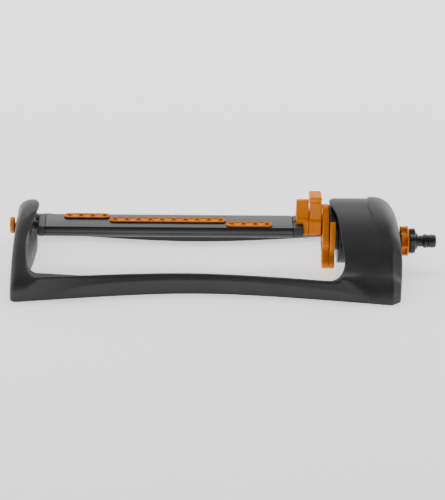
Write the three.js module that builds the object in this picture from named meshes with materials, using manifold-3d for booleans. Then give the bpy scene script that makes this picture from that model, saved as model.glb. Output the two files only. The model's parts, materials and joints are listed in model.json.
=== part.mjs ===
// Oscillating lawn sprinkler: an hourglass frame with an end arch and a gear hood,
// a flat spray tube that swings between them, and the water motor that swings it.
// Millimetres. X runs along the spray tube towards the hose inlet, Z is up, and the
// frame stands on Z = 0 with the origin below the middle of the whole sprinkler.

import * as THREE from 'three';
import { mergeVertices } from 'three/addons/utils/BufferGeometryUtils.js';
import Module from 'manifold-3d';

const wasm = await Module();
wasm.setup();

// ---------------------------------------------------------------- driving dimensions

const GAP = 0.3; // space left between two pieces that touch
const RUN = 0.4; // running clearance between a turning piece and its seat
const WALL = 3; // moulded wall thickness
const PAST = 2; // how far a cutter reaches past what it cuts

const TUBE_Z = 53.6; // height of the swing axis
const INLET_Z = 36; // height of the hose inlet and turbine axis
const MOTOR_Z = 46; // height of the motor case axis

// Hourglass plan of the frame: half width = WAIST at WAIST_X, growing along a hyperbola.
const WAIST = 75.5;
const WAIST_X = -33;
const WAIST_SLOPE = 0.185;
const WAIST_BLEND = 17.5;

const BEAM = { from: -238, to: 149.7, wall: 4.5, top: 25, crease: 16, step: 2.5, rib: 7, ribZ: 10.5 };
const ARCH = { left: -251, right: -217, half: 97.5, top: 85, topRadius: 24, under: 22 };
const HOOD = { rim: 124, skirt: 150, end: 213, top: 88, topRadius: 60, flankFoot: 84, skirtTop: 26 };

const TUBE = {
  left: -213, right: 82.2, flat: 18.6, half: 20.2, under: 16, top: 6.7, bottom: -7.3, wall: 1.6,
};
const CAP = { left: -221.5, right: 94, spigot: 11 };
const PIN = { radius: 5, end: -248.4, bore: 3 };
const PLUG = { radius: 10, left: -255.5, right: -249.9 };

const STRIP = { width: 12.2, height: 1.9, boss: 2.4, bossHeight: 0.7, hole: 0.9, pitch: 14, end: 6.8 };
const STRIPS = [
  { name: 'nozzle_strip_rear', first: -185.1, count: 4, y: 11 },
  { name: 'nozzle_strip_middle', first: -130.1, count: 10, y: 0 },
  { name: 'nozzle_strip_front', first: 8.8, count: 4, y: -11 },
];

const JOURNAL = { outer: 11.8, flangeEnd: 116.6, neck: 9.2, seat: 7, tail: 4, bore: 3.2 };
const BLOCK = { left: 85.8, right: 100.7, half: 8, shoulder: 69.5, top: 89.4, topHalf: 2.8, lip: 7.6 };
const KNOB = { left: 101, right: 115.6, half: 11.5, top: 96.5 };
const SADDLE = { half: 14.2, bottom: 48.7, top: 68 };

const LEVER = { reach: 50, tip: 9, tilt: -30, arm: 18 };
const FRONT_LEVER = { left: 117.2, right: 125, ring: 28 };
const REAR_LEVER = { left: 125.7, right: 132, ring: 33 };

const CASE = {
  left: 136, right: 178, radius: 36, wall: 2.5, neckLeft: 117, neckOuter: 13.5, neckInner: 11.8, ears: 38.6,
  hubLeft: 125.3, hub: 27,
};
const GEAR = { module: 1, output: 36, pinion: 9, wheel: 27 };

const COLLAR = { left: 212.4, right: 221.7, radius: 18.5, notch: 5, notches: 8 };
const PIPE = { left: 186.3, right: 222.4, outer: 10, inner: 7 };
const NIPPLE = { flange: 16.3, neck: 6.9, ridge: 8.5, nose: 8, bore: 4.5, right: 255.5 };

// ---------------------------------------------------------------- materials

const plastic = (color, roughness) => new THREE.MeshStandardMaterial({ color, roughness, metalness: 0 });
const metal = (color, roughness) => new THREE.MeshStandardMaterial({ color, roughness, metalness: 1 });
const MATERIALS = {
  frame: plastic(0x46444a, 0.55),
  anodised: metal(0x77767a, 0.4),
  cap: plastic(0x5b5a5c, 0.5),
  orange: plastic(0xd2700e, 0.45),
  softOrange: plastic(0xd98a45, 0.6),
  black: plastic(0x1f1f21, 0.45),
  rubber: plastic(0x161616, 0.7),
  gear: plastic(0xd9d6cc, 0.5),
  steel: metal(0xb5b6b8, 0.3),
};

// ---------------------------------------------------------------- solid modelling helpers

function solid(geometry) {
  const bare = geometry.index ? geometry.toNonIndexed() : geometry.clone();
  bare.deleteAttribute('normal');
  bare.deleteAttribute('uv');
  const merged = mergeVertices(bare, 1e-4);
  const index = merged.index.array;
  const corners = [];
  for (let i = 0; i < index.length; i += 3) {
    const [a, b, c] = [index[i], index[i + 1], index[i + 2]];
    if (a !== b && b !== c && c !== a) corners.push(a, b, c);
  }
  const made = (list) => new wasm.Manifold(new wasm.Mesh({
    numProp: 3,
    vertProperties: new Float32Array(merged.attributes.position.array),
    triVerts: new Uint32Array(list),
  }));
  const body = made(corners);
  if (body.volume() > 0) return body;
  for (let i = 0; i < corners.length; i += 3) {
    [corners[i], corners[i + 1]] = [corners[i + 1], corners[i]];
  }
  return made(corners);
}

function geometryOf(body) {
  const mesh = body.getMesh();
  const positions = new Float32Array(mesh.numVert * 3);
  for (let i = 0; i < mesh.numVert; i += 1) {
    for (let k = 0; k < 3; k += 1) positions[3 * i + k] = mesh.vertProperties[i * mesh.numProp + k];
  }
  const geometry = new THREE.BufferGeometry();
  geometry.setAttribute('position', new THREE.BufferAttribute(positions, 3));
  geometry.setIndex(new THREE.BufferAttribute(new Uint32Array(mesh.triVerts), 1));
  geometry.computeVertexNormals();
  return geometry;
}

const join = (...bodies) => bodies.reduce((whole, piece) => whole.add(piece));
const cut = (body, ...cutters) => cutters.reduce((rest, cutter) => rest.subtract(cutter), body);
const common = (...bodies) => bodies.reduce((whole, piece) => whole.intersect(piece));

const vector = (x, y, z) => new THREE.Vector3(x, y, z);
const frameOf = (a, b, c, place) => new THREE.Matrix4().makeBasis(a, b, c).setPosition(place);

function extruded(shape, depth, curveSegments) {
  return new THREE.ExtrudeGeometry(shape, { depth, bevelEnabled: false, curveSegments });
}

// A shape drawn in (Y, Z), swept along X.
function alongX(shape, x0, x1, curveSegments = 8) {
  const place = frameOf(vector(0, 1, 0), vector(0, 0, 1), vector(1, 0, 0), vector(x0, 0, 0));
  return solid(extruded(shape, x1 - x0, curveSegments).applyMatrix4(place));
}

// A shape drawn in (X, Z), swept along Y.
function alongY(shape, y0, y1, curveSegments = 8) {
  const place = frameOf(vector(1, 0, 0), vector(0, 0, 1), vector(0, -1, 0), vector(0, y1, 0));
  return solid(extruded(shape, y1 - y0, curveSegments).applyMatrix4(place));
}

// A shape drawn in (X, Y), swept along Z.
function alongZ(shape, z0, z1, curveSegments = 8) {
  return solid(extruded(shape, z1 - z0, curveSegments).translate(0, 0, z0));
}

const box = (x0, x1, y0, y1, z0, z1) => solid(new THREE.BoxGeometry(x1 - x0, y1 - y0, z1 - z0)
  .translate((x0 + x1) / 2, (y0 + y1) / 2, (z0 + z1) / 2));

// A straight round bar from x0 to x1 about the line Y = y, Z = z.
function bar(x0, x1, radius, y, z, sides = 20) {
  const geometry = new THREE.CylinderGeometry(radius, radius, x1 - x0, sides);
  return solid(geometry.rotateZ(-Math.PI / 2).translate((x0 + x1) / 2, y, z));
}

// A straight round post from z0 to z1 about the line X = x, Y = y.
function post(z0, z1, radius, x, y, sides = 10) {
  const geometry = new THREE.CylinderGeometry(radius, radius, z1 - z0, sides);
  return solid(geometry.rotateX(Math.PI / 2).translate(x, y, (z0 + z1) / 2));
}

const pipe = (x0, x1, outer, inner, y, z, sides = 20) => cut(
  bar(x0, x1, outer, y, z, sides),
  bar(x0 - PAST, x1 + PAST, inner, y, z, sides),
);

// A profile of [x, radius] points turned about the line Y = y, Z = z.
function turned(profile, y, z, sides = 20) {
  const points = profile.map(([x, radius]) => new THREE.Vector2(radius, x));
  const place = frameOf(vector(0, 1, 0), vector(1, 0, 0), vector(0, 0, -1), vector(0, y, z));
  return solid(new THREE.LatheGeometry(points, sides).applyMatrix4(place));
}

// A ring of round section, as an O-ring, about the line Y = y, Z = z.
const ring = (x, radius, section, y, z) => solid(new THREE.TorusGeometry(radius, section, 6, 16)
  .rotateY(Math.PI / 2).translate(x, y, z));

// A closed outline, without the points that lie on a straight run between their neighbours.
function polygon(points) {
  const turning = points.filter(([a, b], i) => {
    const [a0, b0] = points[(i + points.length - 1) % points.length];
    const [a1, b1] = points[(i + 1) % points.length];
    return Math.abs((a - a0) * (b1 - b) - (b - b0) * (a1 - a)) > 1e-6;
  });
  const shape = new THREE.Shape();
  shape.setFromPoints(turning.map(([a, b]) => new THREE.Vector2(a, b)));
  return shape;
}

function roundedRectangle(a0, a1, b0, b1, radius) {
  const shape = new THREE.Shape();
  shape.moveTo(a0 + radius, b0);
  shape.lineTo(a1 - radius, b0);
  shape.absarc(a1 - radius, b0 + radius, radius, -Math.PI / 2, 0);
  shape.lineTo(a1, b1 - radius);
  shape.absarc(a1 - radius, b1 - radius, radius, 0, Math.PI / 2);
  shape.lineTo(a0 + radius, b1);
  shape.absarc(a0 + radius, b1 - radius, radius, Math.PI / 2, Math.PI);
  shape.lineTo(a0, b0 + radius);
  shape.absarc(a0 + radius, b0 + radius, radius, Math.PI, 1.5 * Math.PI);
  return shape;
}

const mirrored = (half) => [...half, ...half.slice().reverse().map(([a, b]) => [-a, b])];

const sprinkler = new THREE.Group();

function part(name, body, material) {
  const mesh = new THREE.Mesh(geometryOf(body), MATERIALS[material]);
  mesh.name = name;
  sprinkler.add(mesh);
  return mesh;
}

// ---------------------------------------------------------------- frame

function halfWidth(x) {
  const run = WAIST_SLOPE * (x - WAIST_X);
  return WAIST + Math.hypot(WAIST_BLEND, run) - WAIST_BLEND;
}

// A strip of the hourglass plan on the -Y side, between two insets from its edge.
function beamStrip(x0, x1, outerInset, innerInset, steps = 12) {
  const outer = [];
  const inner = [];
  for (let i = 0; i <= steps; i += 1) {
    const x = x0 + ((x1 - x0) * i) / steps;
    outer.push([x, -halfWidth(x) + outerInset]);
    inner.unshift([x, -halfWidth(x) + innerInset]);
  }
  return polygon([...outer, ...inner]);
}

const mirrorY = (body) => body.mirror([0, 1, 0]);

function beam() {
  const { from, to, wall, top, crease, step, rib, ribZ } = BEAM;
  return join(
    alongZ(beamStrip(from, to, 0, wall), 0, crease),
    alongZ(beamStrip(from, to, step, step + wall), crease - GAP, top),
    alongZ(beamStrip(from, to, wall - 1, wall + rib), ribZ, ribZ + WALL),
  );
}

// The arch outline in (Y, Z): upright feet, straight flanks and a round top.
function archOutline(inset) {
  const radius = ARCH.topRadius - inset;
  const centre = ARCH.top - ARCH.topRadius;
  const flank = THREE.MathUtils.degToRad(36);
  const shape = new THREE.Shape();
  shape.moveTo(-ARCH.half + inset, -inset);
  shape.lineTo(-ARCH.half + inset, 12);
  shape.lineTo(-ARCH.half + 8 + inset, 26 - inset / 2);
  shape.absarc(0, centre, radius, Math.PI / 2 + flank, Math.PI / 2 - flank, true);
  shape.lineTo(ARCH.half - 8 - inset, 26 - inset / 2);
  shape.lineTo(ARCH.half - inset, 12);
  shape.lineTo(ARCH.half - inset, -inset);
  return shape;
}

// Side view of the arch in (X, Z): the outer face leans in and rolls over at the top.
function archSide(inset) {
  const top = ARCH.top + 1 - inset;
  return polygon([
    [ARCH.left + inset, -inset], [ARCH.left + inset, 20], [-248.8 + inset, 52], [-245 + inset, 70],
    [-239 + inset, 80], [-232 + inset, top], [ARCH.right + PAST, top], [ARCH.right + PAST, -inset],
  ]);
}

// Plan of the arch in (X, Y), with round outer corners.
function archPlan(inset) {
  const corner = 9 - inset;
  const chamfer = 0.3 * corner;
  const left = ARCH.left + inset;
  const right = ARCH.right + PAST;
  const end = ARCH.half - inset;
  return polygon([[right, end], [left + corner, end], [left + chamfer, end - chamfer], [left, end - corner],
    [left, -end + corner], [left + chamfer, -end + chamfer], [left + corner, -end], [right, -end]]);
}

// Heights and X of the arch's inner face on the middle plane: a lean below the tube,
// and a brow that comes forward over it.
const INNER_FACE = [
  [-3, -221], [22, -223.4], [38, -225.6], [48, -228], [56, -229], [62, -228.5], [68, -226], [74, -222.5],
  [80, -218.5], [88, -217],
];
const FACE_BOW = { depth: 6.2, reach: 75 };

function archFace(y, z) {
  const k = Math.max(INNER_FACE.findIndex(([height]) => height >= z), 1);
  const [[z0, a], [z1, b]] = [INNER_FACE[k - 1], INNER_FACE[k]];
  return a + ((b - a) * (z - z0)) / (z1 - z0) - FACE_BOW.depth * (Math.abs(y) / FACE_BOW.reach) ** 1.6;
}

// Everything between the arch's inner face, moved back by the inset, and the plane X = far.
function faceRoom(inset, far) {
  const heights = INNER_FACE.map(([z]) => z);
  const widths = Array.from({ length: 15 }, (_, i) => ((i - 7) / 7) * (ARCH.half + 1));
  const count = widths.length;
  const front = heights.flatMap((z) => widths.flatMap((y) => [archFace(y, z) - inset, y, z]));
  const back = heights.flatMap((z) => widths.flatMap((y) => [far, y, z]));
  const backStart = heights.length * count;
  const corners = [];
  const quad = (a, b, c, d) => corners.push(a, b, c, a, c, d);
  for (let j = 0; j < heights.length - 1; j += 1) {
    const row = j * count;
    for (let i = row; i < row + count - 1; i += 1) {
      quad(i, i + count, i + count + 1, i + 1);
      quad(backStart + i, backStart + i + 1, backStart + i + count + 1, backStart + i + count);
    }
    const end = row + count - 1;
    quad(row, backStart + row, backStart + row + count, row + count);
    quad(end, end + count, backStart + end + count, backStart + end);
  }
  const top = (heights.length - 1) * count;
  for (let i = 0; i < count - 1; i += 1) {
    quad(i, i + 1, backStart + i + 1, backStart + i);
    quad(top + i, backStart + top + i, backStart + top + i + 1, top + i + 1);
  }
  const geometry = new THREE.BufferGeometry();
  geometry.setAttribute('position', new THREE.Float32BufferAttribute([...front, ...back], 3));
  geometry.setIndex(corners);
  return solid(geometry);
}

function archBlock(inset, x0, x1) {
  return cut(
    common(
      alongX(archOutline(inset), x0, x1, 6),
      alongY(archSide(inset), -ARCH.half - PAST, ARCH.half + PAST),
      alongZ(archPlan(inset), -PAST, ARCH.top + PAST),
    ),
    faceRoom(inset, ARCH.right + 2 * PAST),
  );
}

const bush = { left: -238, right: -228.2, outer: 7.5 };

// The pivot bearing in the arch: a boss, a round plate and the shallow pocket in its face.
const PIVOT = {
  bossLeft: -248, boss: 13, plateLeft: -231, plate: 25, right: -228,
  pocketLeft: -227.6, pocket: 23.5, foot: 46,
};

function arch() {
  const shell = cut(
    archBlock(0, ARCH.left - PAST, ARCH.right + PAST),
    archBlock(WALL, ARCH.left - PAST, ARCH.right + PAST),
  );
  const between = polygon(mirrored([[80, -PAST], [80, 6], [70, ARCH.under], [0, ARCH.under]]));
  const footPads = [[-92, -83], [83, 92]].map(([y0, y1]) => box(-248.5, -239, y0, y1, 0, 3));
  const bearing = join(
    shell,
    bar(PIVOT.bossLeft, PIVOT.right, PIVOT.boss, 0, TUBE_Z),
    bar(PIVOT.plateLeft, PIVOT.right, PIVOT.plate, 0, TUBE_Z),
  );
  const clear = ARCH.right + PAST;
  const pocket = cut(
    bar(PIVOT.pocketLeft, clear, PIVOT.pocket, 0, TUBE_Z, 28),
    box(PIVOT.plateLeft, clear + PAST, -PIVOT.plate, PIVOT.plate, ARCH.under, PIVOT.foot),
  );
  return join(cut(
    bearing,
    pocket,
    bar(ARCH.left - PAST, clear, PIN.radius + RUN, 0, TUBE_Z),
    bar(bush.left - GAP, clear, bush.outer + GAP, 0, TUBE_Z),
    alongX(between, ARCH.left - PAST, ARCH.right + PAST),
  ), ...footPads);
}

part('base_frame', join(beam(), mirrorY(beam()), arch()), 'frame');

// ---------------------------------------------------------------- gear hood

// The dome outline in (Y, Z): round top and straight flanks that meet the skirt.
function domeOutline(inset) {
  const radius = HOOD.topRadius - inset;
  const centre = HOOD.top - HOOD.topRadius;
  const flank = THREE.MathUtils.degToRad(47);
  const shape = new THREE.Shape();
  shape.moveTo(-HOOD.flankFoot + inset * 1.4, -inset);
  shape.lineTo(-HOOD.flankFoot + inset * 1.4, HOOD.skirtTop);
  shape.absarc(0, centre, radius, Math.PI / 2 + flank, Math.PI / 2 - flank, true);
  shape.lineTo(HOOD.flankFoot - inset * 1.4, HOOD.skirtTop);
  shape.lineTo(HOOD.flankFoot - inset * 1.4, -inset);
  return shape;
}

// Side view of the hood in (X, Z): a mouth that leans back below its brow, and a
// round shoulder above the hose inlet. The inside reaches out through the mouth.
function hoodSide(inset) {
  const mouth = inset > 0
    ? [[HOOD.rim - 6, -inset], [HOOD.rim - 6, HOOD.top + 1 - inset]]
    : [[HOOD.skirt, 0], [HOOD.skirt, 25.4], [129, 26], [133.5, 29.5], [137.5, 34], [140.2, 41],
      [138.6, 53], [135.4, 70], [133.7, 77.4], [131.5, 82], [127.5, 85], [HOOD.rim, HOOD.top + 1]];
  return polygon([...mouth, [188 - inset, HOOD.top + 1 - inset], [197 - inset, 85 - inset],
    [203 - inset, 76 - inset], [206 - inset, 68], [209 - inset, 57], [211.5 - inset, 44],
    [HOOD.end - inset, 30], [HOOD.end - inset, -inset]]);
}

// The +X end of the hood in plan, as [x, half width]: a bow with blunt corners.
const HOOD_END = [
  [196, 103.9], [201, 103.5], [204, 99], [205.2, 95], [206.8, 85], [208.7, 70], [210.8, 50], [212.2, 30],
];

// Plan of the hood from x0 to its bowed end.
function hoodPlan(inset, x0) {
  const side = [];
  const corner = HOOD_END[0][0];
  for (let i = 0; i < 6; i += 1) {
    const x = x0 + ((corner - x0) * i) / 6;
    side.push([x, halfWidth(x) - inset]);
  }
  const end = HOOD_END.map(([x, half]) => [x - 0.7 * inset, half - 0.7 * inset]);
  const half = [...side, ...end, [HOOD.end - inset, 0]];
  return polygon([...half, ...half.slice(0, -1).reverse().map(([x, y]) => [x, -y])]);
}

function hoodBlock(inset) {
  const width = halfWidth(HOOD.end);
  const skirtStart = HOOD.skirt - (inset > 0 ? 6 : 0);
  const dome = common(
    alongX(domeOutline(inset), HOOD.rim - 8, HOOD.end, 10),
    alongY(hoodSide(inset), -width - PAST, width + PAST),
    alongZ(hoodPlan(inset, HOOD.rim - 10), -PAST, HOOD.top + PAST),
  );
  return join(dome, alongZ(hoodPlan(inset, skirtStart), inset > 0 ? -PAST : 0, HOOD.skirtTop - inset));
}

const floorScrews = [[160, 78], [160, -78], [195, 80], [195, -80]];

function gearHood() {
  const shell = cut(hoodBlock(0), hoodBlock(WALL));
  const bosses = floorScrews.map(([x, y]) => common(post(6, 34, 5, x, y), hoodBlock(0)));
  return cut(
    join(shell, ...bosses),
    bar(HOOD.end - 12, HOOD.end + PAST, PIPE.outer + RUN, 0, INLET_Z),
    bar(COLLAR.left - RUN, HOOD.end + PAST, COLLAR.radius + 1, 0, INLET_Z, 40),
    ...floorScrews.map(([x, y]) => post(4, 18, 1.8, x, y, 8)),
  );
}

part('gear_hood', gearHood(), 'frame');

// Closing plate under the hood, with two cradles that carry the motor case.
function hoodFloor() {
  const half = [[153, 88], [195, 92], [201, 84], [205, 60]];
  const plate = polygon([...half, ...half.slice().reverse().map(([x, y]) => [x, -y])]);
  const cradles = [156, 166].map((x) => cut(
    box(x, x + 4, -26, 26, 4, 22),
    bar(x - PAST, x + 6, CASE.radius + GAP, 0, MOTOR_Z, 32),
  ));
  return cut(
    join(alongZ(plate, 3, 5.5), ...cradles),
    ...floorScrews.map(([x, y]) => post(2, 6, 1.9, x, y, 8)),
  );
}

part('hood_floor', hoodFloor(), 'frame');

floorScrews.forEach(([x, y], i) => {
  const screw = join(post(0.8, 2.7, 3.6, x, y), post(2, 16, 1.4, x, y, 8));
  part(`floor_screw_${i + 1}`, screw, 'steel');
});

// ---------------------------------------------------------------- motor case

const earAngles = [0, -60, -120, 180].map(THREE.MathUtils.degToRad);
const earPlaces = earAngles.map((a) => [CASE.ears * Math.cos(a), MOTOR_Z + CASE.ears * Math.sin(a)]);

function motorCase() {
  const { left, right, radius, wall, neckLeft, neckOuter, neckInner, hubLeft, hub } = CASE;
  const ears = earPlaces.map(([y, z]) => bar(right - 8, right, 4, y, z, 12));
  return cut(
    join(
      bar(left, right, radius, 0, MOTOR_Z, 32),
      bar(hubLeft, left + 1, hub, 0, TUBE_Z, 32),
      bar(neckLeft, left + 1, neckOuter, 0, TUBE_Z),
      ...ears,
    ),
    bar(left + wall, right + PAST, radius - wall, 0, MOTOR_Z, 32),
    pipe(hubLeft + wall, left + wall + 1, hub - wall, neckOuter + 1, 0, TUBE_Z, 24),
    bar(neckLeft - PAST, left + 6, neckInner, 0, TUBE_Z),
    ...earPlaces.map(([y, z]) => bar(right - 7, right + PAST, 1.7, y, z, 8)),
  );
}

part('motor_case', motorCase(), 'black');
const bushOuter = CASE.neckInner - GAP;
part('journal_bush', pipe(CASE.neckLeft + GAP, 139, bushOuter, JOURNAL.neck + RUN, 0, TUBE_Z), 'gear');

function motorCover() {
  const ears = earPlaces.map(([y, z]) => bar(CASE.right + GAP, 181.8, 4, y, z, 12));
  return cut(
    join(
      bar(CASE.right + GAP, 181.8, CASE.radius, 0, MOTOR_Z, 32),
      bar(181, 186, 11, 0, INLET_Z),
      ...ears,
    ),
    bar(176, 188, PIPE.inner, 0, INLET_Z),
    ...earPlaces.map(([y, z]) => bar(176, 184, 1.9, y, z, 8)),
  );
}

part('motor_cover', motorCover(), 'black');

earPlaces.forEach(([y, z], i) => {
  const screw = join(bar(182.1, 184.2, 3.3, y, z, 12), bar(173, 183, 1.4, y, z, 8));
  part(`case_screw_${i + 1}`, screw, 'steel');
});

// ---------------------------------------------------------------- gear train

// Where two circles about the swing axis and the turbine axis meet, on the -Y side.
function idlerAxis() {
  const far = (GEAR.module * (GEAR.output + GEAR.pinion)) / 2;
  const near = (GEAR.module * (GEAR.wheel + GEAR.pinion)) / 2;
  const rise = TUBE_Z - INLET_Z;
  const up = (near ** 2 - far ** 2 + rise ** 2) / (2 * rise);
  return [-Math.sqrt(near ** 2 - up ** 2), INLET_Z + up];
}

const [IDLER_Y, IDLER_Z] = idlerAxis();

// Gear outline about the origin, with one tooth centred on the given direction.
function gearShape(teeth, direction, bore) {
  const pitch = (GEAR.module * teeth) / 2;
  const rings = [
    [pitch - 1.25 * GEAR.module, 0.27], [pitch, 0.2], [pitch + 0.85 * GEAR.module, 0.09],
  ];
  const points = [];
  const tooth = (2 * Math.PI) / teeth;
  for (let i = 0; i < teeth; i += 1) {
    const middle = direction + i * tooth;
    for (const [radius, half] of rings) points.push([radius, middle - half * tooth]);
    for (const [radius, half] of rings.slice().reverse()) points.push([radius, middle + half * tooth]);
  }
  const shape = new THREE.Shape();
  shape.setFromPoints(points.map(([r, a]) => new THREE.Vector2(r * Math.cos(a), r * Math.sin(a))));
  const hole = new THREE.Path();
  hole.absarc(0, 0, bore, 0, 2 * Math.PI, true);
  shape.holes.push(hole);
  return shape;
}

const gear = (x0, x1, teeth, direction, bore, y, z) => alongX(gearShape(teeth, direction, bore), x0, x1, 6)
  .translate([0, y, z]);

const toIdler = Math.atan2(IDLER_Z - TUBE_Z, IDLER_Y);
const toTurbine = Math.atan2(INLET_Z - IDLER_Z, -IDLER_Y);
const halfTooth = Math.PI / GEAR.pinion;

part('output_gear', gear(141, 147, GEAR.output, toIdler, JOURNAL.seat + GAP, 0, TUBE_Z), 'gear');

function idlerGear() {
  const bore = 2.4;
  return join(
    gear(140.6, 149.5, GEAR.pinion, toIdler + Math.PI + halfTooth, bore, IDLER_Y, IDLER_Z),
    gear(149.2, 154, GEAR.wheel, toTurbine, bore, IDLER_Y, IDLER_Z),
  );
}

part('idler_gear', idlerGear(), 'gear');
part('idler_pin', bar(138.8, 159.5, 2, IDLER_Y, IDLER_Z, 12), 'steel');
const fromIdler = toTurbine + Math.PI + halfTooth;
part('turbine_pinion', gear(148.6, 154.6, GEAR.pinion, fromIdler, 2.3, 0, INLET_Z), 'gear');
part('turbine_shaft', bar(147.5, 177.5, 2, 0, INLET_Z, 12), 'steel');

// Wall between the gears and the turbine. It carries the shaft ends and lets water past.
function gearPlate() {
  const ports = [30, 90, 150].map(THREE.MathUtils.degToRad);
  return cut(
    bar(156.2, 158.8, CASE.radius - CASE.wall - GAP, 0, MOTOR_Z, 32),
    bar(154, 161, 2 + RUN, 0, INLET_Z, 12),
    bar(154, 161, 2 + GAP, IDLER_Y, IDLER_Z, 12),
    bar(154, 161, JOURNAL.tail + RUN, 0, TUBE_Z, 16),
    ...ports.map((a) => bar(154, 161, 4, 24 * Math.cos(a), MOTOR_Z + 24 * Math.sin(a), 12)),
  );
}

part('gear_plate', gearPlate(), 'black');

function turbineWheel() {
  const blades = [];
  for (let i = 0; i < 10; i += 1) {
    const angle = (i / 10) * 2 * Math.PI;
    const blade = new THREE.BoxGeometry(9, 15, 1.4).rotateY(0.35).translate(166, 12.2, 0);
    blades.push(solid(blade.rotateX(angle).translate(0, 0, INLET_Z)));
  }
  const rim = pipe(161.6, 170.4, 20.6, 19, 0, INLET_Z, 24);
  return cut(join(bar(161.2, 170.8, 6, 0, INLET_Z, 20), rim, ...blades), bar(158, 174, 2.3, 0, INLET_Z, 12));
}

part('turbine_wheel', turbineWheel(), 'gear');

// Guide plate that turns the incoming water into jets against the turbine.
function jetPlate() {
  const jets = [];
  for (let i = 0; i < 6; i += 1) {
    const angle = ((i + 0.5) / 6) * 2 * Math.PI;
    jets.push(bar(170, 179, 2.2, 13 * Math.cos(angle), INLET_Z + 13 * Math.sin(angle), 8));
  }
  return cut(
    bar(173, 176.2, CASE.radius - CASE.wall - GAP, 0, MOTOR_Z, 32),
    bar(170, 179, 2 + RUN, 0, INLET_Z, 12),
    ...jets,
  );
}

part('jet_plate', jetPlate(), 'black');

// ---------------------------------------------------------------- spray tube

// Tube outline in (Y, Z): a flat top with crisp edges over round, tucked-under sides.
function tubeOutline(inset) {
  const { flat, half, under, top, bottom } = TUBE;
  const side = new THREE.CatmullRomCurve3([
    vector(under - inset * 0.6, bottom + inset, 0), vector(half - 1.6 - inset, bottom + 2.4, 0),
    vector(half - inset, -0.6, 0), vector(half - 0.6 - inset, 3.2, 0), vector(flat - inset, top - inset, 0),
  ]).getPoints(6).map((point) => [point.x, TUBE_Z + point.y]);
  return polygon([...side, ...side.slice().reverse().map(([y, z]) => [-y, z])]);
}

const nozzles = STRIPS.flatMap(({ first, count, y }) => Array.from(
  { length: count },
  (_, i) => [first + i * STRIP.pitch, y],
));

const tubeTop = TUBE_Z + TUBE.top;

part('spray_tube', cut(
  alongX(tubeOutline(0), TUBE.left + GAP, TUBE.right - GAP, 4),
  alongX(tubeOutline(TUBE.wall), TUBE.left - PAST, TUBE.right + PAST, 4),
  ...nozzles.map(([x, y]) => post(tubeTop - 4, tubeTop + 1, 1.5, x, y, 8)),
), 'anodised');

function nozzleStrip({ first, count, y }) {
  const x0 = first - STRIP.end;
  const x1 = first + (count - 1) * STRIP.pitch + STRIP.end;
  const low = tubeTop + GAP;
  const outline = roundedRectangle(x0, x1, y - STRIP.width / 2, y + STRIP.width / 2, STRIP.width / 2 - 0.2);
  const xs = Array.from({ length: count }, (_, i) => first + i * STRIP.pitch);
  return cut(
    join(
      alongZ(outline, low, low + STRIP.height, 4),
      ...xs.map((x) => post(low + 1, low + STRIP.height + STRIP.bossHeight, STRIP.boss, x, y, 12)),
    ),
    ...xs.map((x) => post(low - 1, low + 5, STRIP.hole, x, y, 6)),
  );
}

STRIPS.forEach((strip) => part(strip.name, nozzleStrip(strip), 'softOrange'));

// Left end cap with its spigot in the tube and the hollow pivot pin in the arch.
part('left_end_cap', cut(
  join(
    alongX(tubeOutline(0), CAP.left, TUBE.left, 4),
    alongX(tubeOutline(TUBE.wall + GAP), TUBE.left - 1, TUBE.left + CAP.spigot, 4),
    bar(PIN.end, CAP.left + 1, PIN.radius, 0, TUBE_Z, 20),
  ),
  bar(PIN.end - PAST, TUBE.left + CAP.spigot + PAST, PIN.bore, 0, TUBE_Z, 12),
), 'cap');

part('pivot_bush', pipe(bush.left, bush.right, bush.outer, PIN.radius + RUN, 0, TUBE_Z, 20), 'gear');

// Clean-out plug: a coin slot in a round head, and a spigot in the hollow pin.
part('cleanout_plug', cut(
  join(
    turned([[PLUG.left, 0], [PLUG.left, PLUG.radius - 2], [PLUG.left + 2, PLUG.radius],
      [PLUG.right, PLUG.radius], [PLUG.right, 0]], 0, TUBE_Z, 28),
    bar(PLUG.right - 1, PLUG.right + 10, PIN.bore - GAP, 0, TUBE_Z, 12),
  ),
  box(PLUG.left - 1, PLUG.left + 2.2, -PLUG.radius - 1, PLUG.radius + 1, TUBE_Z - 0.9, TUBE_Z + 0.9),
), 'orange');

part('right_end_cap', cut(
  join(
    alongX(tubeOutline(0), TUBE.right, CAP.right, 4),
    alongX(tubeOutline(TUBE.wall + GAP), TUBE.right - CAP.spigot, TUBE.right + 1, 4),
  ),
  bar(70, 96, 6 + GAP, 0, TUBE_Z, 20),
), 'cap');

// Hollow journal: carries the tube in the motor case and brings it the water.
part('tube_journal', turned([
  [84, JOURNAL.bore], [84, 6], [CAP.right + GAP, 6], [CAP.right + GAP, JOURNAL.outer],
  [JOURNAL.flangeEnd, JOURNAL.outer], [JOURNAL.flangeEnd, JOURNAL.neck], [140.3, JOURNAL.neck],
  [140.3, JOURNAL.seat],
  [148, JOURNAL.seat], [148, JOURNAL.tail], [160.5, JOURNAL.tail], [160.5, 0], [146, 0],
  [146, JOURNAL.bore], [84, JOURNAL.bore],
], 0, TUBE_Z, 28), 'black');

// ---------------------------------------------------------------- width selector

// A saddle over the journal, open below, between x0 and x1.
function saddle(x0, x1) {
  const shape = roundedRectangle(-SADDLE.half, SADDLE.half, SADDLE.bottom, SADDLE.top, 3);
  return alongX(shape, x0, x1, 4);
}

const journalRoom = (x0, x1) => join(
  bar(x0, x1, JOURNAL.outer + RUN, 0, TUBE_Z, 28),
  box(x0, x1, -10.5, 10.5, 30, TUBE_Z - 3),
);

const blockFoot = tubeTop + 0.6;
const blockOutline = polygon(mirrored([
  [BLOCK.half, blockFoot], [BLOCK.half, BLOCK.shoulder], [BLOCK.topHalf, BLOCK.top],
]));

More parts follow.
